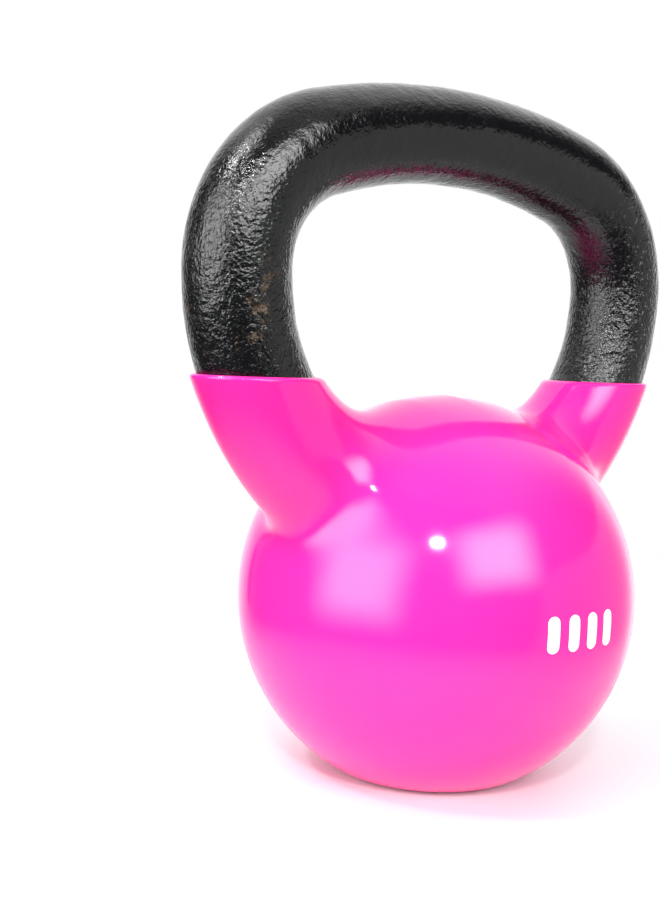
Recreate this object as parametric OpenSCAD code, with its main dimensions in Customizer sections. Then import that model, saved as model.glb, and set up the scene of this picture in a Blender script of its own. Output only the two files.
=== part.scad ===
// Coated cast kettlebell: one iron casting, the enamel on its handle,
// the vinyl skin over its ball and horns, and a printed weight mark.
// Millimetres. Z is up from the floor, X runs along the handle, the mark faces -Y.

/* [Ball] */
// diameter of the ball over its vinyl skin
ball_d = 123; // [100:0.5:150]
// diameter of the flat that the ball rests on
base_d = 57; // [30:1:80]

/* [Handle] */
// clear height for the hand, from the top of the ball to the underside of the bar
hand_gap = 64.5; // [45:0.5:90]
// thickness of the round handle bar over its enamel
bar_d = 29; // [20:0.5:38]
// radius of the shallow bow along the top of the handle
bow_r = 180; // [100:1:300]
// half of the angle that the bow covers
bow_angle = 16.5; // [8:0.5:30]
// radius of each shoulder, from the bow round to the upright leg
shoulder_r = 37.5; // [26:0.5:50]
// radius of each horn as it curls inwards and down into the ball
horn_r = 68; // [50:0.5:120]

/* [Coatings] */
// thickness of the vinyl skin
skin_t = 2; // [1:0.1:4]
// height above the top of the ball of the flat edge where the skin ends
rim_rise = 6; // [2:0.5:14]
// thickness of the enamel on the handle
enamel_t = 0.5; // [0.2:0.1:1.5]
// radius of the soft fillet where a horn meets the ball
fillet_r = 10; // [4:1:20]

/* [Weight mark] */
// number of printed bars, one for each two kilograms
mark_count = 4; // [1:1:8]
// height of one printed bar
mark_h = 10.4; // [6:0.2:16]
// width of one printed bar
mark_w = 4; // [2:0.2:6]
// distance from one printed bar to the next
mark_pitch = 7.3; // [5:0.1:12]
// thickness of the print
mark_t = 0.3; // [0.1:0.1:1]

/* [Hidden] */
$fn = 96;
ball_r = ball_d / 2;
ball_z = sqrt(ball_r * ball_r - base_d * base_d / 4);
rim_z = ball_z + ball_r + rim_rise;
total_h = ball_z + ball_r + hand_gap + bar_d;
bar_z = total_h - bar_d / 2;
bow_z = bar_z - bow_r;
shoulder_x = (bow_r - shoulder_r) * sin(bow_angle);
shoulder_z = bow_z + (bow_r - shoulder_r) * cos(bow_angle);
horn_x = shoulder_x + shoulder_r - horn_r;
// the horn's arc centre and its entry point, both seen from the ball's centre
reach = norm([horn_x, shoulder_z - ball_z]);
swing = acos((reach * reach + ball_r * ball_r - horn_r * horn_r) / (2 * reach * ball_r));
lean = atan2(horn_x, shoulder_z - ball_z) + swing;
// the same point seen from the horn's arc centre, and the arc's nearest point to the ball's centre
nearest = 90 + atan2(horn_x, shoulder_z - ball_z);
turn = acos((reach * reach + horn_r * horn_r - ball_r * ball_r) / (2 * reach * horn_r));
// the horn runs on past the entry and ends halfway to the nearest point, deep inside the ball
horn_end = nearest - turn / 2;
throat_r = bar_d / 2;
// each shoulder is a hair thinner than its neighbours and runs a little way into them
joint_step = 0.05;
lap = 1.2;
room = 4 * total_h;

// one arc of round bar in the XZ plane
module bar_arc(centre, radius, from, to, bar_r) {
  translate([centre[0], 0, centre[1]])
    rotate([90, 0, 0])
      rotate([0, 0, from])
        rotate_extrude(angle = to - from)
          translate([radius, 0])
            circle(r = bar_r);
}

// the two horns, grown by grow all round
module horns(grow) {
  r = bar_d / 2 + grow;
  bar_arc([horn_x, shoulder_z], horn_r, -horn_end, 0, r);
  bar_arc([-horn_x, shoulder_z], horn_r, 180, 180 + horn_end, r);
}

// the whole bar in one sweep: horn, shoulder, bow, shoulder, horn
module bar(grow) {
  r = bar_d / 2 + grow;
  bar_arc([0, bow_z], bow_r, 90 - bow_angle, 90 + bow_angle, r);
  bar_arc([shoulder_x, shoulder_z], shoulder_r, -lap, 90 - bow_angle + lap, r - joint_step);
  bar_arc([-shoulder_x, shoulder_z], shoulder_r, 90 + bow_angle - lap, 180 + lap, r - joint_step);
  horns(grow);
}

// everything above height z, or below it when down is true
module slab(z, down = false) {
  translate([-room / 2, -room / 2, down ? z - room : z])
    cube(room);
}

// half section of the ball with a fillet up to one horn, to be turned about the horn
module fillet_section(grow) {
  r = ball_r + grow;
  blend = fillet_r - grow;
  throat = throat_r + grow;
  top = sqrt((r + blend) * (r + blend) - (throat + blend) * (throat + blend));
  intersection() {
    union() {
      circle(r = r);
      difference() {
        polygon([[0, 0], [throat + blend, top], [0, top]]);
        translate([throat + blend, top]) circle(r = blend);
      }
    }
    translate([0, -room / 2]) square(room);
  }
}

// one half of the ball, with the fillet that rises round its horn
module half_ball(side, grow) {
  intersection() {
    translate([0, 0, ball_z])
      rotate([0, side * lean, 0])
        rotate_extrude()
          fillet_section(grow);
    translate([side > 0 ? 0 : -room, -room / 2, -room / 2])
      cube(room);
  }
}

module filleted_ball(grow) {
  half_ball(1, grow);
  half_ball(-1, grow);
}

module iron_solid() {
  intersection() {
    union() {
      bar(-enamel_t);
      filleted_ball(-skin_t);
    }
    slab(skin_t);
  }
}

module iron_casting() {
  color([0.27, 0.26, 0.25])
    iron_solid();
}

module handle_enamel() {
  color([0.05, 0.05, 0.055])
    intersection() {
      difference() {
        bar(0);
        bar(-enamel_t);
      }
      slab(rim_z);
    }
}

module vinyl_coat() {
  color([0.93, 0.12, 0.62])
    difference() {
      intersection() {
        union() {
          horns(skin_t);
          filleted_ball(0);
        }
        slab(rim_z, true);
        slab(0);
      }
      iron_solid();
    }
}

module mark_bar(x) {
  half = (mark_h - mark_w) / 2;
  translate([x, 0, ball_z])
    rotate([90, 0, 0])
      linear_extrude(ball_d)
        union() {
          translate([0, half]) circle(d = mark_w);
          translate([0, -half]) circle(d = mark_w);
          square([mark_w, 2 * half], center = true);
        }
}

module weight_mark() {
  color([0.96, 0.95, 0.96])
    for (i = [0 : mark_count - 1])
      difference() {
        intersection() {
          mark_bar((i - (mark_count - 1) / 2) * mark_pitch);
          translate([0, 0, ball_z]) sphere(r = ball_r + mark_t);
        }
        translate([0, 0, ball_z]) sphere(r = ball_r);
      }
}

iron_casting();
handle_enamel();
vinyl_coat();
weight_mark();
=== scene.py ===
# %% [markdown]
# # A coated kettlebell
# The real object is one iron casting, black enamel on its bare handle, a pink vinyl
# skin that was dipped over the ball and both horns, and a white mark printed in front.
# The casting is already in the packed model, so this lesson makes what is seen on it:
# the skin, the enamel and the print. Lengths are in millimetres until a mesh is made.

# %% Load the packed model
import functools
import math

import bmesh
import bpy
import numpy as np
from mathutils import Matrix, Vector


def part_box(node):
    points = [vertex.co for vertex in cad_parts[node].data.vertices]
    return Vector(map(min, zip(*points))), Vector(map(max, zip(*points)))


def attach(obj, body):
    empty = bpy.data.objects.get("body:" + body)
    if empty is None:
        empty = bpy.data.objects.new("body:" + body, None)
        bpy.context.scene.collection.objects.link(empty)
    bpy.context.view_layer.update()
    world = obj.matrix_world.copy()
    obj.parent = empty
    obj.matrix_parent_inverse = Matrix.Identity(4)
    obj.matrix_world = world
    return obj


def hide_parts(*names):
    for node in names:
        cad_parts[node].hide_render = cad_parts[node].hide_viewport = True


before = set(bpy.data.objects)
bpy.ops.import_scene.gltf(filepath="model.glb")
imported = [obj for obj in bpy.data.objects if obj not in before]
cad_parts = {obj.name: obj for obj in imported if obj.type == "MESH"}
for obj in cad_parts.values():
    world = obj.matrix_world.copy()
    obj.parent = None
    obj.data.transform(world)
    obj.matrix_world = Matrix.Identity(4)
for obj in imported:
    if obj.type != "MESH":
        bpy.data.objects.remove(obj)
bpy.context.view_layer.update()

MM = 0.001
print("packed nodes:", sorted(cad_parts))

# %% [markdown]
# ## Sizes
# The coats lie on the casting, so what they must fill is measured on the packed solids:
# the skin reaches back by the ball's radius and up to the rim, the mark is level with
# the ball's middle, and the enamel's top is the bar's. The arcs of the handle's centre
# line and the bar's thickness, in its own plane and front to back, are the maker's. The
# skin is drawn 0.1 mm thinner than its solid, so its inner sheet stays off the iron.

# %% Sizes of the ball and the handle
GRIP_OUT, GRIP_SIDE = 14.4, 14.35
LEG_OUT, LEG_SIDE = 15.4, 14.4
skin_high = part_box("vinyl_coat")[1]
mark_low, mark_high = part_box("weight_mark")
BALL_R = round(skin_high.y / MM, 1)
BALL_Z = round((mark_low.z + mark_high.z) / 2 / MM, 1)
RIM_Z = round(skin_high.z / MM, 1)
BAR_TOP_Z = round(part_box("handle_enamel")[1].z / MM - GRIP_OUT, 1)
SKIN_T = 1.9
BOW_R = 180.0
BOW_ANGLE = math.radians(16.5)
SHOULDER_R = 37.5
HORN_R = 68.0

BOW_Z = BAR_TOP_Z - BOW_R
SHOULDER_X = (BOW_R - SHOULDER_R) * math.sin(BOW_ANGLE)
SHOULDER_Z = BOW_Z + (BOW_R - SHOULDER_R) * math.cos(BOW_ANGLE)
HORN_X = SHOULDER_X + SHOULDER_R - HORN_R
BOW_LENGTH = BOW_R * BOW_ANGLE
SHOULDER_LENGTH = SHOULDER_R * (math.pi / 2 - BOW_ANGLE)
print("ball:", BALL_R, "at", BALL_Z, "mm, rim at", RIM_Z, "mm, bar at", BAR_TOP_Z, "mm")
print("handle, outside to outside:", round(2 * (SHOULDER_X + SHOULDER_R + LEG_OUT), 1), "mm")


# %% [markdown]
# ## Helpers
# Three formulas are used all through: a soft step, so that sizes change without a
# corner, a soft minimum, so that surfaces meet in a fillet as a rounded mould makes
# them, and random lumps, for paint that dried unevenly. They take whole arrays, which
# is far quicker than working out one point at a time.

# %% Small helpers on arrays
def smooth_step(low, high, value):
    """0 below low, 1 above high, and between them 3t^2 - 2t^3 of the way t."""
    t = np.clip((value - low) / (high - low), 0.0, 1.0)
    return t * t * (3 - 2 * t)


def smooth_min(first, second, width):
    """The smaller of two fields, less h^3 width / 6 where they are closer than width.
    h is 1 - |first - second| / width, so the join is rounded with no crease."""
    h = np.clip(1 - np.abs(first - second) / width, 0.0, 1.0)
    return np.minimum(first, second) - h**3 * width / 6


def lumps(points, size, seed):
    """Soft random bumps from -1 to 1: random values on a grid of cubes of that size,
    blended across each cube by the smooth step along every axis."""
    lattice = np.random.default_rng(seed).uniform(-1, 1, (32, 32, 32))
    place = points / size
    cell = np.floor(place).astype(int)
    part = place - cell
    part = part * part * (3 - 2 * part)
    total = 0.0
    for corner in np.ndindex(2, 2, 2):
        index = np.mod(cell + np.array(corner), 32)
        share = np.prod(np.where(corner, part, 1 - part), axis=-1)
        total = total + share * lattice[index[..., 0], index[..., 1], index[..., 2]]
    return total


print("soft minimum of 1 and 1 over a width of 6:", smooth_min(1.0, 1.0, 6.0))

# %% [markdown]
# ## From a grid to a mesh
# Every piece here is a grid of points: one way along the piece, the other way round it.
# A grid becomes four-sided faces by joining each point to its neighbours. Both ways
# can wrap, which closes the piece like a bent tube, so no hole is left anywhere. The
# corners of a face are taken in the order that turns it outwards.

# %% Make a mesh from a grid of points
def grid_piece(name, grid, wrap_rows):
    """Faces join point (i, j) to (i + 1, j + 1); columns always wrap, rows if asked."""
    rows, columns = grid.shape[:2]
    i = np.arange(rows if wrap_rows else rows - 1)[:, None]
    j = np.arange(columns)[None, :]
    down, across = (i + 1) % rows, (j + 1) % columns
    quads = np.stack([i * columns + j, down * columns + j,
                      down * columns + across, i * columns + across], axis=-1)
    mesh = bpy.data.meshes.new(name)
    mesh.vertices.add(rows * columns)
    mesh.vertices.foreach_set("co", (grid * MM).astype(np.float32).ravel())
    count = quads.shape[0] * quads.shape[1]
    mesh.loops.add(4 * count)
    mesh.loops.foreach_set("vertex_index", quads.astype(np.int32).ravel())
    mesh.polygons.add(count)
    mesh.polygons.foreach_set("loop_start", np.arange(0, 4 * count, 4, dtype=np.int32))
    mesh.update(calc_edges=True)
    mesh.validate()
    mesh.polygons.foreach_set("use_smooth", np.ones(count, dtype=bool))
    piece = bpy.data.objects.new(name, mesh)
    bpy.context.scene.collection.objects.link(piece)
    low, high = grid.reshape(-1, 3).min(0).round(1), grid.reshape(-1, 3).max(0).round(1)
    print(name, 2 * count, "triangles, from", low.tolist(), "to", high.tolist())
    return piece


# %% [markdown]
# ## The handle's centre line
# A draughtsman would set the handle out with a compass: a shallow bow on top, a tight
# shoulder, then a leg that leans in and becomes the horn. Each arc starts in the
# direction in which the last one ends, so the bar has no kink.

# %% Centre line and section of the bar
def bar_line(s):
    """Centre, and outward direction, at distance s along the bar from its middle.
    On each arc the angle grows by distance over radius, and the point is the arc's
    centre plus the radius times the outward direction (sin angle, cos angle)."""
    d = np.abs(s)
    on_shoulder, on_horn = d > BOW_LENGTH, d > BOW_LENGTH + SHOULDER_LENGTH
    angle = np.where(on_shoulder, BOW_ANGLE + (d - BOW_LENGTH) / SHOULDER_R, d / BOW_R)
    horn_turn = (d - BOW_LENGTH - SHOULDER_LENGTH) / HORN_R
    angle = np.where(on_horn, math.pi / 2 + horn_turn, angle)
    radius = np.where(on_horn, HORN_R, np.where(on_shoulder, SHOULDER_R, BOW_R))
    centre_x = np.where(on_horn, HORN_X, np.where(on_shoulder, SHOULDER_X, 0.0))
    centre_z = np.where(on_shoulder, SHOULDER_Z, BOW_Z)
    out = np.stack([np.sin(angle), 0 * angle, np.cos(angle)], -1)
    line = np.stack([centre_x, 0 * angle, centre_z], -1) + radius[..., None] * out
    side = np.where(s < 0, -1.0, 1.0)[..., None] * [1, 0, 0] + [0, 1, 1]
    return line * side, out * side


def bar_section(s):
    """Half thickness in the handle's plane and front to back: slimmest under the grip."""
    fuller = smooth_step(8.0, 75.0, np.abs(s))
    return GRIP_OUT + (LEG_OUT - GRIP_OUT) * fuller, GRIP_SIDE + (LEG_SIDE - GRIP_SIDE) * fuller


print("centre line at the top of the bow:", bar_line(np.zeros(1))[0][0].round(1).tolist())

# %% [markdown]
# ## Ball and horns as one field
# The skin was dipped, so it has no edges: ball and horns run into each other. That is
# easiest with a field, a number that is negative inside and positive outside. The ball
# and the horn have one each, and a rounded minimum of the two gives the soft fillet.
# The fillet is tight under the horn, wide at its front and middling on its inner side.

# %% The field of the coated body
FLARE_FROM, FLARE_OVER = math.radians(26), math.radians(46)
FLARE_OUT, FLARE_SIDE = 6.5, 2.0
FILLET_INNER, FILLET_FRONT, FILLET_UNDER = 16.0, 24.0, 11.0
BASE_EDGE = 3.0


def horn_field(x, y, z, grow):
    """Signed distance, roughly, to the horn: the offset from its arc is split into
    outward and sideways parts, each is divided by its half thickness, and the length of
    the pair less one is divided by its slope. The horn flares as it nears the ball. Also
    how far outward, from -1 to 1, each point lies from the arc."""
    outward = np.hypot(np.abs(x) - HORN_X, z - SHOULDER_Z) - HORN_R
    angle = np.arctan2(SHOULDER_Z - z, np.abs(x) - HORN_X)
    flare = np.clip((angle - FLARE_FROM) / FLARE_OVER, 0, 1.2) ** 1.7
    a, b = LEG_OUT + grow + FLARE_OUT * flare, LEG_SIDE + grow + FLARE_SIDE * flare
    length = np.sqrt((outward / a) ** 2 + (y / b) ** 2) + 1e-9
    slope = np.sqrt((outward / a**2) ** 2 + (y / b**2) ** 2) / length + 1e-9
    return (length - 1) / slope, outward / (np.hypot(outward, y) + 1e-9)


def body_field(x, y, z, grow):
    """Rounded union of ball and horn, cut by the flat base with a rounded edge."""
    ball = np.sqrt(x * x + y * y + (z - BALL_Z) ** 2) - (BALL_R - SKIN_T + grow)
    horn, facing = horn_field(x, y, z, grow)
    to_front = smooth_step(-0.9, -0.2, facing)
    to_under = smooth_step(0.0, 0.8, facing)
    width = FILLET_INNER + (FILLET_FRONT - FILLET_INNER) * to_front
    width = width - (FILLET_FRONT - FILLET_UNDER) * to_under
    both = smooth_min(ball, horn, width)
    return -smooth_min(-both, z - (SKIN_T - grow), BASE_EDGE)


print("field at the front of the ball:", body_field(0.0, -BALL_R, BALL_Z, SKIN_T).round(3))

# %% [markdown]
# ## The skin
# Loops are cut from the field by planes that turn, like a book's pages, about a line
# just above the ball: the first page lies flat at the left rim, the middle one stands
# upright through the ball, and the last lies flat at the right rim. Along each page,
# rays leave a centre line and stop where the field is zero. One grid then covers horn,
# ball and horn with no pole. The edge is rolled over, and the inside is a second sheet.

# %% Rays from a centre line to the surface
def hit(field, origin, direction, reach, grow):
    """Halves the span from 0 to reach 40 times, keeping the half where the field turns
    positive, for every ray at once."""
    low, high = np.zeros(reach.shape), reach.copy()
    for _ in range(40):
        middle = (low + high) / 2
        p = origin + middle[..., None] * direction
        inside = field(p[..., 0], p[..., 1], p[..., 2], grow) < 0
        low, high = np.where(inside, middle, low), np.where(inside, high, middle)
    return origin + low[..., None] * direction


LIP = 1.3
LONGEST_RAY, LEVEL_RAY = 95.0, 40.0
STOP_SHORT = 0.2
UPRIGHT_TO, FLAT_FROM = math.radians(28), math.radians(60)
COLUMNS = 272
TURN = np.linspace(0, 2 * math.pi, COLUMNS, endpoint=False)
PAGE_Z = RIM_Z - LIP


def horn_distance(page):
    """How far along a page its line meets the horn's arc: the far root of a circle."""
    along = HORN_X * np.sin(page) - (SHOULDER_Z - PAGE_Z) * np.cos(page)
    apart = HORN_X**2 + (SHOULDER_Z - PAGE_Z) ** 2
    return along + np.sqrt(along**2 - apart + HORN_R**2)


def page_loops(pages, grow):
    """One loop of surface points for each page. Its rays start below the ball's middle on
    upright pages and on the horn's arc on flat ones, and stop short of the turning line."""
    size = np.abs(pages)
    share = smooth_step(UPRIGHT_TO, FLAT_FROM, size)
    middle = (PAGE_Z - BALL_Z) * np.cos(size)
    start = middle * (1 - share) + horn_distance(size) * share
    out = np.stack([np.sin(pages), 0 * pages, -np.cos(pages)], -1)[:, None, :]
    origin = np.array([0, 0, PAGE_Z]) + start[:, None, None] * out
    direction = np.cos(TURN)[None, :, None] * out + np.sin(TURN)[:, None] * [0.0, 1.0, 0.0]
    inward = np.maximum(-np.cos(TURN), 1e-6)
    reach = np.minimum((start[:, None] - STOP_SHORT) / inward, LONGEST_RAY)
    return hit(body_field, np.broadcast_to(origin, direction.shape), direction, reach, grow)


def level_loop(side, height, grow, inset):
    """The horn's outline at one height, drawn in by inset towards its own centre."""
    centre_x = HORN_X + math.sqrt(HORN_R**2 - (height - SHOULDER_Z) ** 2)
    origin = np.array([side * centre_x, 0.0, height])
    direction = np.stack([side * np.cos(TURN), np.sin(TURN), 0 * TURN], -1)

    def horn_only(x, y, z, extra):
        return horn_field(x, y, z, extra)[0]

    edge = hit(horn_only, np.broadcast_to(origin, direction.shape), direction,
               np.full(COLUMNS, LEVEL_RAY), grow)
    return edge - inset * direction


print("rays round each page:", COLUMNS, "and the pages turn about z =", PAGE_Z, "mm")

# %% [markdown]
# ## The skin's edge
# The dipped skin is cut flat round each leg, and the cut edge is slightly rounded. A
# bevel could round it, but it would round other edges as well. So the edge is drawn as
# more rows of the same grid: up over the outside, across the top, and down into the gap
# beside the handle. The inner sheet then closes the skin.

# %% Build the skin
INNER_LIP = 0.5
HANDLE_GAP = 0.15


def rolled_edge(side):
    """Rows up over the rim and down inside: a quarter circle, a flat, a quarter circle."""
    rows = []
    for t in np.linspace(0.12, 1.0, 8) * math.pi / 2:
        inset = LIP * (1 - math.cos(t))
        rows.append(level_loop(side, PAGE_Z + LIP * math.sin(t), SKIN_T, inset))
    for t in np.linspace(1.0, 0.0, 6) * math.pi / 2:
        height = RIM_Z - INNER_LIP + INNER_LIP * math.sin(t)
        rows.append(level_loop(side, height, HANDLE_GAP, -INNER_LIP * (1 - math.cos(t))))
    for depth in (1.2, 2.5, 5.0):
        rows.append(level_loop(side, RIM_Z - INNER_LIP - depth, HANDLE_GAP, 0.0))
    return np.array(rows)


pages = np.linspace(-math.pi / 2, math.pi / 2, 241)
outside = page_loops(pages, SKIN_T)
inside = page_loops(np.linspace(math.radians(80), math.radians(-80), 41), 0.0)
left_edge, right_edge = rolled_edge(-1), rolled_edge(1)
skin_grid = np.concatenate([left_edge[::-1], outside, right_edge, inside])
skin = grid_piece("vinyl_skin", skin_grid[:, ::-1], True)
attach(skin, "root")
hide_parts("vinyl_coat")
print("skin rows:", len(skin_grid), "and columns:", COLUMNS)

# %% [markdown]
# ## The enamel
# Brushed enamel on rough cast iron dries lumpy. The bar is swept along its centre line
# with an oval section, and the radius is raised and lowered by random lumps of three
# sizes. A smooth sheet on the inside closes the coat, as the iron under it would. The
# coat runs on a little way inside the skin, so that its end is never seen.

# %% Build the enamel on the handle
ENAMEL_T = 0.45
HIDDEN_RUN = 13.0
BAR_COLUMNS = 200
# height of the lumps, size of the lumps, seed
LUMPS = [(0.10, 9.0, 11), (0.055, 3.6, 12), (0.035, 1.7, 13)]


def bar_rows(s, offset, relief):
    """Points round the bar: centre + a cos t outward + b sin t sideways, where a and b
    are the half thicknesses plus the offset and the relief."""
    line, out = bar_line(s)
    a, b = bar_section(s)
    t = np.linspace(0, 2 * math.pi, BAR_COLUMNS, endpoint=False)
    a = (a + offset)[:, None] + relief
    b = (b + offset)[:, None] + relief
    side = np.array([0.0, 1.0, 0.0])
    return (line[:, None, :] + (a * np.cos(t))[..., None] * out[:, None, :]
            + (b * np.sin(t))[..., None] * side)


RUN_IN = math.asin((SHOULDER_Z - RIM_Z + HIDDEN_RUN) / HORN_R) * HORN_R
HALF_BAR = BOW_LENGTH + SHOULDER_LENGTH + RUN_IN
along = np.linspace(-HALF_BAR, HALF_BAR, 430)
smooth_bar = bar_rows(along, 0.0, 0.0)
relief = sum(depth * lumps(smooth_bar, size, seed) for depth, size, seed in LUMPS)
outer_bar = bar_rows(along, 0.0, relief)
inner_bar = bar_rows(along[::-9], -ENAMEL_T, 0.0)
handle = grid_piece("handle_enamel_coat", np.concatenate([outer_bar, inner_bar]), True)
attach(handle, "root")
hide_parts("handle_enamel")

# %% [markdown]
# ## The printed mark
# The marked weight is shown by four round-ended bars, one for each two kilograms. Pad
# printing leaves a thin film of ink with a slightly raised edge. Each bar is a fan of
# rings: the outline shrinks to a spine in the middle, above and below, and the doubled
# points along each spine are welded, so the bar is closed.

# %% Build the four printed bars
BAR_COUNT, BAR_PITCH = 4, 7.3
PRINT_H, PRINT_W, PRINT_T = 10.4, 4.0, 0.16
WELD = 1e-6


def stadium(size):
    """Outline of a round-ended bar shrunk to a share of its width, keeping its spine."""
    t = np.linspace(0, 2 * math.pi, 96, endpoint=False)
    spine = (PRINT_H - PRINT_W) / 2
    x = size[:, None] * PRINT_W / 2 * np.cos(t)
    z = size[:, None] * PRINT_W / 2 * np.sin(t) + spine * np.clip(np.sin(t) * 6, -1, 1)
    return x, z


def printed_bar(number):
    """The outline's rings laid on the ball: y = -sqrt(radius^2 - x^2 - (z - centre)^2)."""
    size = np.array([0.0, 0.3, 0.6, 0.8, 0.9, 0.96, 1.0, 1.0, 0.9, 0.4, 0.0])
    top, underside = [0.0, 0.0, 0.0, 0.01, 0.03, 0.01, -0.06], [-0.4] * 4
    x, z = stadium(size)
    x = x + (number - (BAR_COUNT - 1) / 2) * BAR_PITCH
    radius = BALL_R + PRINT_T + np.array(top + underside)[:, None]
    grid = np.stack([x, -np.sqrt(radius**2 - x**2 - z**2), BALL_Z + z], -1)
    return grid_piece(f"print_bar_{number + 1}", grid, False)


bars = [printed_bar(number) for number in range(BAR_COUNT)]
bpy.ops.object.select_all(action="DESELECT")
for bar in bars:
    bar.select_set(True)
bpy.context.view_layer.objects.active = bars[0]
bpy.ops.object.join()
mark = bars[0]
mark.name = "printed_mark"
welded = bmesh.new()
welded.from_mesh(mark.data)
bmesh.ops.remove_doubles(welded, verts=welded.verts, dist=WELD)
welded.to_mesh(mark.data)
open_edges = sum(edge.is_boundary for edge in welded.edges)
print("mark:", len(welded.faces), "faces, open edges:", open_edges)
welded.free()
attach(mark, "root")
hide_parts("weight_mark")

# %% [markdown]
# ## Materials
# Each finish is a small graph of shader nodes. Adding and linking the nodes by hand
# hides the recipe, so a small class does it, and each later line reads as one step.

# %% A small builder for shader nodes
class Nodes:
    """Adds nodes to a tree and links them, so that each line reads like a sentence."""

    def __init__(self, tree):
        self.tree = tree

    def add(self, kind, inputs=None, **settings):
        node = self.tree.nodes.new(kind)
        for key, value in settings.items():
            setattr(node, key, value)
        for key, value in (inputs or {}).items():
            if isinstance(value, bpy.types.NodeSocket):
                self.tree.links.new(value, node.inputs[key])
            else:
                node.inputs[key].default_value = value
        return node

    def math(self, operation, a, b=0.0, clamp=False):
        return self.add("ShaderNodeMath", {0: a, 1: b}, operation=operation,
                        use_clamp=clamp).outputs[0]

    def noise(self, place, scale, detail=3.0, rough=0.5):
        return self.add("ShaderNodeTexNoise", {"Vector": place, "Scale": scale,
                        "Detail": detail, "Roughness": rough}).outputs["Fac"]

    def band(self, value, low, high):
        """0 below low, 1 above high, smooth between."""
        return self.add("ShaderNodeMapRange", {"Value": value, "From Min": low,
                        "From Max": high}, interpolation_type="SMOOTHSTEP").outputs[0]

    def mix(self, share, first, second):
        """The first colour where share is 0, the second where it is 1."""
        node = self.add("ShaderNodeMix", {"Factor": share}, data_type="RGBA")
        for socket, value in ((node.inputs[6], first), (node.inputs[7], second)):
            if isinstance(value, bpy.types.NodeSocket):
                self.tree.links.new(value, socket)
            else:
                socket.default_value = (*value, 1.0)
        return node.outputs[2]


def new_material(name):
    """A material, the builder for its nodes, its shader, and the place on the object."""
    material = bpy.data.materials.new(name)
    material.use_nodes = True
    n = Nodes(material.node_tree)
    shader = material.node_tree.nodes["Principled BSDF"]
    place = n.add("ShaderNodeTexCoord").outputs["Object"]
    return material, n, shader, place


print("builder of nodes:", [name for name in vars(Nodes) if not name.startswith("_")])

# %% [markdown]
# ## Unevenness as one group
# All four finishes are uneven in the same way: something varies from place to place at
# a few sizes. That is made once, as a node group that puts out plain values, and each
# material decides what to do with them.

# %% The shared unevenness
def make_unevenness():
    """Broad, middle and fine variation, and pores, from one place and one size."""
    group = bpy.data.node_groups.new("Surface unevenness", "ShaderNodeTree")
    group.interface.new_socket("Place", in_out="INPUT", socket_type="NodeSocketVector")
    size = group.interface.new_socket("Grain per metre", in_out="INPUT",
                                      socket_type="NodeSocketFloat")
    size.default_value = 600.0
    for name in ("Broad", "Middle", "Fine", "Pores"):
        group.interface.new_socket(name, in_out="OUTPUT", socket_type="NodeSocketFloat")
    n = Nodes(group)
    source = n.add("NodeGroupInput")
    place, grain = source.outputs["Place"], source.outputs["Grain per metre"]
    broad = n.noise(place, n.math("MULTIPLY", grain, 0.05), 3.0)
    middle = n.noise(place, n.math("MULTIPLY", grain, 0.35), 3.0)
    fine = n.noise(place, grain, 2.0)
    cell_scale = n.math("MULTIPLY", grain, 0.8)
    cells = n.add("ShaderNodeTexVoronoi", {"Vector": place, "Scale": cell_scale})
    pores = n.math("SUBTRACT", 1.0, n.band(cells.outputs["Distance"], 0.02, 0.5))
    n.add("NodeGroupOutput", {"Broad": broad, "Middle": middle, "Fine": fine, "Pores": pores})
    return group


UNEVENNESS = make_unevenness()


def unevenness(n, place, grain):
    """The shared group in one material: its outputs at that many grains per metre."""
    node = n.add("ShaderNodeGroup", node_tree=UNEVENNESS)
    n.tree.links.new(place, node.inputs["Place"])
    node.inputs["Grain per metre"].default_value = grain
    return node.outputs


sockets = UNEVENNESS.interface.items_tree
print("shared group outputs:", [s.name for s in sockets if s.in_out == "OUTPUT"])

# %% [markdown]
# ## Pink vinyl
# Dipped vinyl is coloured right through and glossy, with a very faint ripple left by
# the way it drained. Light that enters it comes out again a little way off, which
# keeps the shaded side pink instead of grey.

# %% Material of the skin
pink, n, shader, place = new_material("Pink vinyl")
parts = unevenness(n, place, 420.0)
shade = n.mix(parts["Broad"], (0.93, 0.020, 0.290), (0.95, 0.024, 0.320))
n.tree.links.new(shade, shader.inputs["Base Color"])
gloss = n.math("ADD", n.math("MULTIPLY", parts["Middle"], 0.05), 0.085)
n.tree.links.new(gloss, shader.inputs["Roughness"])
slow, quick = n.math("MULTIPLY", parts["Broad"], 0.8), n.math("MULTIPLY", parts["Middle"], 0.10)
ripple = n.math("ADD", slow, quick)
bump = n.add("ShaderNodeBump", {"Height": ripple, "Strength": 0.25, "Distance": 0.0006})
n.tree.links.new(bump.outputs[0], shader.inputs["Normal"])
shader.inputs["IOR"].default_value = 1.46
shader.inputs["Subsurface Weight"].default_value = 0.25
shader.inputs["Subsurface Radius"].default_value = (1.0, 0.25, 0.6)
shader.inputs["Subsurface Scale"].default_value = 0.004
skin.data.materials.append(pink)
print(pink.name, "is made of", len(n.tree.nodes), "nodes")

# %% [markdown]
# ## Black enamel
# Thick black paint over sand-cast iron: pebbled most on the legs, wrinkled where it ran,
# dull brown where a hook or another weight has rubbed the left leg, and flecked on the
# right one with painted grey glints, painted highlights of light on the rough paint. Each
# begins and is full at a distance from the middle or at a height, in metres.

# %% Material of the handle
WORN_SIDE, WORN_HEIGHT = (0.055, 0.08), (0.165, 0.135)
# where the painted grey highlights on the right leg begin and are full
GLINT_SIDE = (0.05, 0.08)
ROUGH_HEIGHT = (0.190, 0.150)

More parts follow.
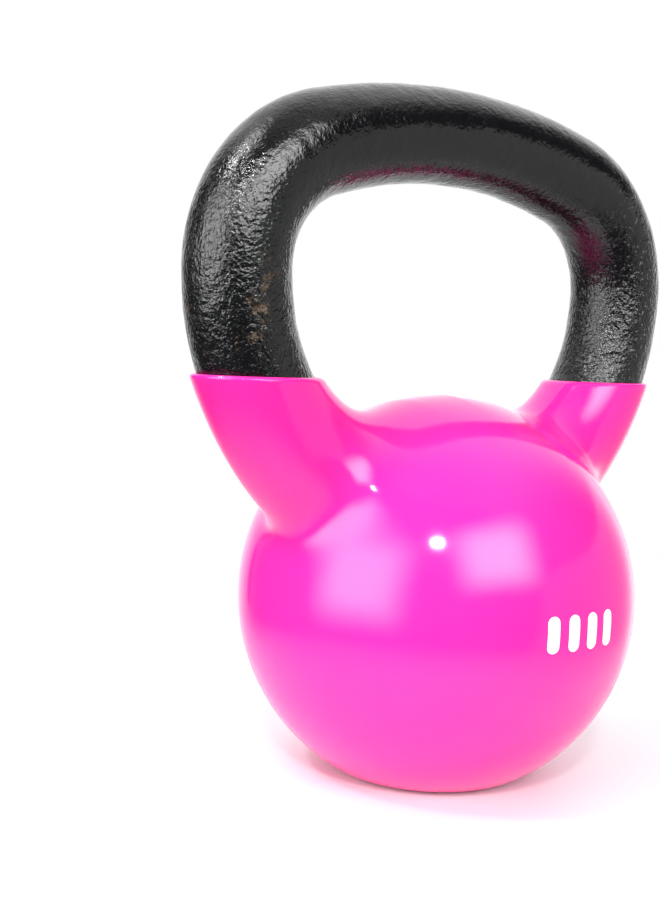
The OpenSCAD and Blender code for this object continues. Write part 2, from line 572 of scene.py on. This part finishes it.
black, n, shader, place = new_material("Black enamel")
parts = unevenness(n, place, 900.0)
axes = n.add("ShaderNodeSeparateXYZ", {"Vector": place}).outputs
leftwards = n.math("MULTIPLY", axes["X"], -1.0)
downwards = n.math("MULTIPLY", axes["Z"], -1.0)
beside = n.band(leftwards, *WORN_SIDE)
below = n.band(downwards, -WORN_HEIGHT[0], -WORN_HEIGHT[1])
worn_leg = n.math("MULTIPLY", beside, below)
fleck = n.band(n.noise(place, 120.0, 6.0, 0.7), 0.57, 0.70)
wear = n.math("MULTIPLY", worn_leg, fleck)
# Painted highlights: grey specks on the right leg stand for glints of light on the rough paint.
glint_leg = n.band(axes["X"], *GLINT_SIDE)
glint_specks = n.band(n.noise(place, 800.0, 3.0, 0.6), 0.60, 0.68)
painted_glints = n.math("MULTIPLY", n.math("MULTIPLY", glint_leg, glint_specks), 0.35)
paint = n.mix(parts["Middle"], (0.002, 0.002, 0.002), (0.005, 0.005, 0.006))
with_painted_glints = n.mix(painted_glints, paint, (0.35, 0.34, 0.35))
worn = n.mix(wear, with_painted_glints, (0.115, 0.075, 0.04))
n.tree.links.new(worn, shader.inputs["Base Color"])
gloss = n.math("ADD", n.math("MULTIPLY", parts["Middle"], 0.10), 0.04)
dulled = n.math("ADD", gloss, n.math("MULTIPLY", n.math("MAXIMUM", wear, painted_glints), 0.45))
n.tree.links.new(dulled, shader.inputs["Roughness"])
stretched = n.add("ShaderNodeMapping", {"Vector": place, "Rotation": (0.0, 0.5, 0.6),
                                        "Scale": (1.0, 2.6, 1.0)}).outputs[0]
wrinkles = n.math("MULTIPLY", n.noise(stretched, 560.0, 3.0, 0.6), 0.35)
pebbles = n.math("MULTIPLY", parts["Middle"], 0.7)
grains = n.math("MULTIPLY", parts["Fine"], 0.55)
height = n.math("ADD", pebbles, n.math("ADD", grains, wrinkles))
on_leg = n.band(downwards, -ROUGH_HEIGHT[0], -ROUGH_HEIGHT[1])
rough_leg = n.math("ADD", 0.5, n.math("MULTIPLY", on_leg, 0.9))
relief_height = n.math("MULTIPLY", height, rough_leg)
bump = n.add("ShaderNodeBump", {"Height": relief_height, "Strength": 0.7, "Distance": 0.0007})
n.tree.links.new(bump.outputs[0], shader.inputs["Normal"])
shader.inputs["IOR"].default_value = 1.55
handle.data.materials.append(black)
print(black.name, "is made of", len(n.tree.nodes), "nodes")

# %% [markdown]
# ## White print and bare iron
# The ink is matt white and faintly mottled. The iron is never seen while its coats are
# whole, but it is there, so it gets its own finish: dark grey, rough and pitted by the
# sand it was poured in.

# %% Materials of the mark and the casting
white, n, shader, place = new_material("White print")
parts = unevenness(n, place, 1500.0)
ink = n.mix(n.band(parts["Middle"], 0.35, 0.65), (0.80, 0.78, 0.82), (0.88, 0.87, 0.89))
n.tree.links.new(ink, shader.inputs["Base Color"])
shader.inputs["Roughness"].default_value = 0.35
bump = n.add("ShaderNodeBump", {"Height": parts["Fine"], "Strength": 0.2, "Distance": 0.0001})
n.tree.links.new(bump.outputs[0], shader.inputs["Normal"])
mark.data.materials.append(white)

iron, n, shader, place = new_material("Cast iron")
parts = unevenness(n, place, 1100.0)
metal = n.mix(parts["Middle"], (0.10, 0.09, 0.085), (0.19, 0.18, 0.17))
n.tree.links.new(metal, shader.inputs["Base Color"])
shader.inputs["Metallic"].default_value = 0.85
dullness = n.math("ADD", n.math("MULTIPLY", parts["Broad"], 0.3), 0.45)
n.tree.links.new(dullness, shader.inputs["Roughness"])
pits = n.math("ADD", parts["Fine"], n.math("MULTIPLY", parts["Pores"], -0.8))
bump = n.add("ShaderNodeBump", {"Height": pits, "Strength": 0.6, "Distance": 0.0006})
n.tree.links.new(bump.outputs[0], shader.inputs["Normal"])
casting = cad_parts["iron_casting"]
casting.data.materials.clear()
casting.data.materials.append(iron)
print("materials:", [m.name for m in bpy.data.materials if m.users])

# %% [markdown]
# ## Table
# The table is a plain pale sheet, with a face on each side, that fades out round the
# object, so that its contact shadow stays and its far edge is never seen. The ball's
# pink shows in it only where the two are close.

# %% Build the table
HALF_TABLE = 9000.0
FADE_FROM, FADE_TO = 0.09, 0.24
left_end = [[-HALF_TABLE, -HALF_TABLE, 0.0], [-HALF_TABLE, HALF_TABLE, 0.0]]
right_end = [[HALF_TABLE, -HALF_TABLE, 0.0], [HALF_TABLE, HALF_TABLE, 0.0]]
table = grid_piece("table", np.array([left_end, right_end]), False)
paper, n, shader, place = new_material("Pale table")
shader.inputs["Base Color"].default_value = (0.73, 0.73, 0.735, 1.0)
shader.inputs["Roughness"].default_value = 0.45
shader.inputs["Specular IOR Level"].default_value = 0.2
from_middle = n.add("ShaderNodeVectorMath", {0: place}, operation="LENGTH").outputs["Value"]
solid = n.math("SUBTRACT", 1.0, n.band(from_middle, FADE_FROM, FADE_TO))
n.tree.links.new(solid, shader.inputs["Alpha"])
table.data.materials.append(paper)
print("the table fades out between", FADE_FROM, "and", FADE_TO, "m")

# %% [markdown]
# ## A soft window
# A glossy ball shows every light in the room, so the shape and the soft frame of each
# light matter as much as its strength. Lamp objects could be used, but their edges are
# hard. A window drawn on the sky by a formula can be as soft as needed, and drawn by its
# direction from the ball, its reflection falls where intended.

# %% A soft window, as a shared group for the room
def make_soft_window():
    """1 where a direction falls inside a window, 0 outside, with a soft frame. Sideways
    and upward parts of the direction are divided by the window's half sizes, and the
    length of the pair, as a fourth power so that corners stay, is compared with 1."""
    group = bpy.data.node_groups.new("Soft window", "ShaderNodeTree")
    for name in ("Direction", "Centre", "Sideways", "Upwards"):
        group.interface.new_socket(name, in_out="INPUT", socket_type="NodeSocketVector")
    group.interface.new_socket("Softness", in_out="INPUT", socket_type="NodeSocketFloat")
    group.interface.new_socket("Mask", in_out="OUTPUT", socket_type="NodeSocketFloat")
    n = Nodes(group)
    source = n.add("NodeGroupInput").outputs

    def along(axis):
        return n.add("ShaderNodeVectorMath", {0: source["Direction"], 1: source[axis]},
                     operation="DOT_PRODUCT").outputs["Value"]

    across = n.math("POWER", n.math("ABSOLUTE", along("Sideways")), 4.0)
    upward = n.math("POWER", n.math("ABSOLUTE", along("Upwards")), 4.0)
    length = n.math("POWER", n.math("ADD", across, upward), 0.25)
    outer = n.math("ADD", 1.0, source["Softness"])
    inner = n.math("SUBTRACT", 1.0, source["Softness"])
    edge = n.band(length, outer, inner)
    facing = n.math("GREATER_THAN", along("Centre"), 0.0)
    n.add("NodeGroupOutput", {"Mask": n.math("MULTIPLY", edge, facing)})
    return group


SOFT_WINDOW = make_soft_window()


def soft_window(n, direction, azimuth, elevation, half_width, half_height, softness, level):
    """A window seen from the ball at that azimuth (0 is the front, plus is right) and
    elevation, with its half width and half height, all in degrees. The softness of its
    frame is a share of its size, and the level is how bright it is."""
    a, e = math.radians(azimuth), math.radians(elevation)
    centre = np.array([math.sin(a) * math.cos(e), -math.cos(a) * math.cos(e), math.sin(e)])
    sideways = np.array([math.cos(a), math.sin(a), 0.0])
    upwards = np.cross(centre, sideways)
    node = n.add("ShaderNodeGroup", node_tree=SOFT_WINDOW)
    n.tree.links.new(direction, node.inputs["Direction"])
    node.inputs["Centre"].default_value = centre
    node.inputs["Sideways"].default_value = sideways / math.sin(math.radians(half_width))
    node.inputs["Upwards"].default_value = upwards / math.sin(math.radians(half_height))
    node.inputs["Softness"].default_value = softness
    return n.math("MULTIPLY", node.outputs["Mask"], level)


sockets = SOFT_WINDOW.interface.items_tree
print("the window group takes:", [s.name for s in sockets if s.in_out == "INPUT"])

# %% [markdown]
# ## The room
# The light is a studio: a soft window on each side of the camera, two small lamps, a low
# pale wall at the right, and a room that is dark behind the camera and pale behind the
# object, where two dark lamp stands are. Each is placed as a photographer would say it,
# by how far round and how high it stands. The camera itself sees plain white.

# %% Light the room
world = bpy.data.worlds.new("Studio room")
bpy.context.scene.world = world
world.use_nodes = True
n = Nodes(world.node_tree)
background = world.node_tree.nodes["Background"]
seen_by_camera = n.add("ShaderNodeLightPath").outputs["Is Camera Ray"]
direction = n.add("ShaderNodeTexCoord").outputs["Generated"]
# azimuth, elevation, half width, half height, softness, level
WINDOWS = {
    "left window": (-86, 15, 22, 20, 0.55, 7.4),
    "right window": (-4, 30, 19, 14, 0.60, 9.2),
    "front lamp": (-42, 38.5, 2.8, 1.8, 0.60, 190.0),
    "left lamp": (-102, 54, 3.0, 3.0, 0.30, 80.0),
    "glow over the left lamp": (-102, 66, 12, 8, 0.70, 6.0),
    "low right wall": (66, -16, 48, 32, 0.04, 0.55),
}
BACKDROP = (142, 30, 40, 62, 0.30, 1.0)
STANDS = [(-164, 9, 3.5, 5, 0.4, 0.9), (-175, -5, 2.5, 6, 0.4, 0.9)]
DARK_ROOM, PALE_ROOM, SEEN_WHITE = (0.05, 0.05, 0.055), (1.30, 1.30, 1.31), (1.0, 1.0, 1.0)


def added(n, direction, windows):
    """The sum of several soft windows."""
    masks = [soft_window(n, direction, *window) for window in windows]
    return functools.reduce(lambda first, second: n.math("ADD", first, second), masks)


light_from_windows = added(n, direction, WINDOWS.values())
pale = soft_window(n, direction, *BACKDROP)
pale = n.math("SUBTRACT", pale, added(n, direction, STANDS), clamp=True)
room = n.mix(pale, DARK_ROOM, PALE_ROOM)
lit = n.add("ShaderNodeMix", {"Factor": 1.0}, data_type="RGBA", blend_type="ADD")
n.tree.links.new(room, lit.inputs[6])
n.tree.links.new(light_from_windows, lit.inputs[7])
seen = n.mix(seen_by_camera, lit.outputs[2], SEEN_WHITE)
n.tree.links.new(seen, background.inputs["Color"])
print("windows and lamps:", list(WINDOWS))

# %% [markdown]
# ## Camera
# The view is from the front left, a little above the ball. The camera is rolled about two
# degrees, with its right side raised, so the object leans slightly to the right. It could
# be turned by three angles, but an eye and an aim are easier to check.

# %% Place the camera
camera_data = bpy.data.cameras.new("Camera")
camera_data.lens = 52.3
camera_data.clip_start = 0.02
ROLL = math.radians(2.196)
camera = bpy.data.objects.new("Camera", camera_data)
eye = Vector((-276.93, -298.39, 131.78)) * MM
aim = Vector((-27.04, 21.15, 98.44)) * MM
level = (aim - eye).to_track_quat("-Z", "Y").to_matrix().to_4x4()
turned = Matrix.Rotation(ROLL, 4, "Z")
camera.matrix_world = Matrix.Translation(eye) @ level @ turned
bpy.context.scene.collection.objects.link(camera)
bpy.context.scene.camera = camera
bpy.context.scene.view_settings.view_transform = "Standard"
print("camera's distance from what it looks at:", round((aim - eye).length / MM), "mm")

# %% [markdown]
# ## Finish
# The coats should fill the same box as the solids they stand for, but for the legs, which
# are slightly oval here and round in the solids.

# %% The last line
bpy.context.view_layer.update()
